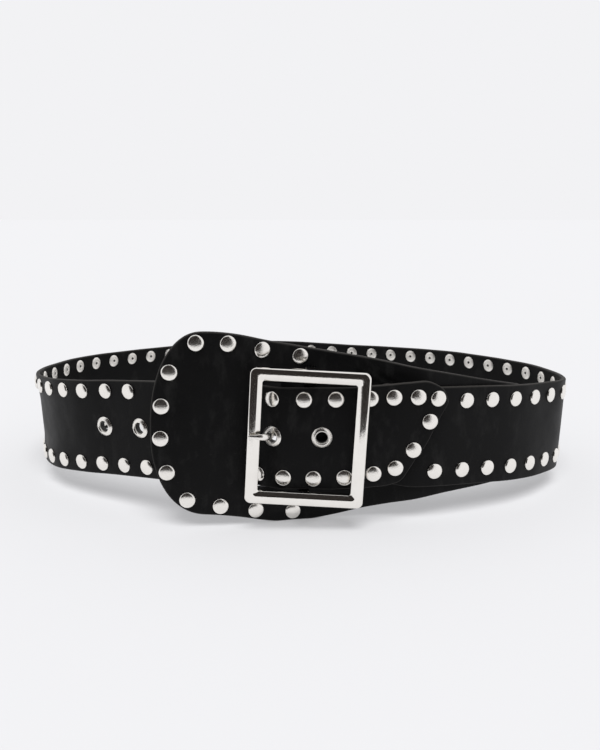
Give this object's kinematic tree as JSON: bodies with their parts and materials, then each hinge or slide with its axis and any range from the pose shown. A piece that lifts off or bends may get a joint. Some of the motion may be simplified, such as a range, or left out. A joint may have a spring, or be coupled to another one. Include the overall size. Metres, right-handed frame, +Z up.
{
  "type": "studded belt",
  "caption": "Wide black leather belt with domed rivets along both edges, a square prong buckle over a shield-shaped panel and a slanted tail tip, fastened and standing.",
  "frame": {"origin": "middle of the foot: the middle of the standing belt seen from above, on the surface it stands on", "axes": "+X to the wearer's left, which is the right side of the picture; +Y from the buckle at the front to the back of the loop; +Z up across the strap"},
  "size_m": [0.3006, 0.2434, 0.096],
  "materials": {
    "black_leather": "smooth, fine grain, soft sheen",
    "nickel": "polished nickel"
  },
  "bodies": {
    "root": {"strap": "black_leather", "panel": "black_leather", "buckle_frame": "nickel", "prong": "nickel", "eyelet_1": "nickel", "eyelet_2": "nickel", "eyelet_3": "nickel", "eyelet_4": "nickel", "panel_stud_1": "nickel", "panel_stud_2": "nickel", "panel_stud_3": "nickel", "panel_stud_4": "nickel", "panel_stud_5": "nickel", "panel_stud_6": "nickel", "panel_stud_7": "nickel", "panel_stud_8": "nickel", "panel_stud_9": "nickel", "panel_stud_10": "nickel", "panel_stud_11": "nickel", "panel_stud_12": "nickel", "tail_stud_1": "nickel", "tail_stud_2": "nickel", "tail_stud_3": "nickel", "tail_stud_4": "nickel", "tail_stud_5": "nickel", "tail_stud_6": "nickel", "tail_stud_7": "nickel", "tail_stud_8": "nickel", "tail_stud_9": "nickel", "tail_stud_10": "nickel", "tail_stud_11": "nickel", "tail_stud_12": "nickel", "tail_stud_13": "nickel", "tail_stud_14": "nickel", "tail_stud_15": "nickel", "seam_stud_1": "nickel", "seam_stud_2": "nickel", "seam_stud_3": "nickel", "seam_stud_4": "nickel", "seam_stud_5": "nickel", "seam_stud_6": "nickel", "seam_stud_7": "nickel"}
  },
  "joints": []
}
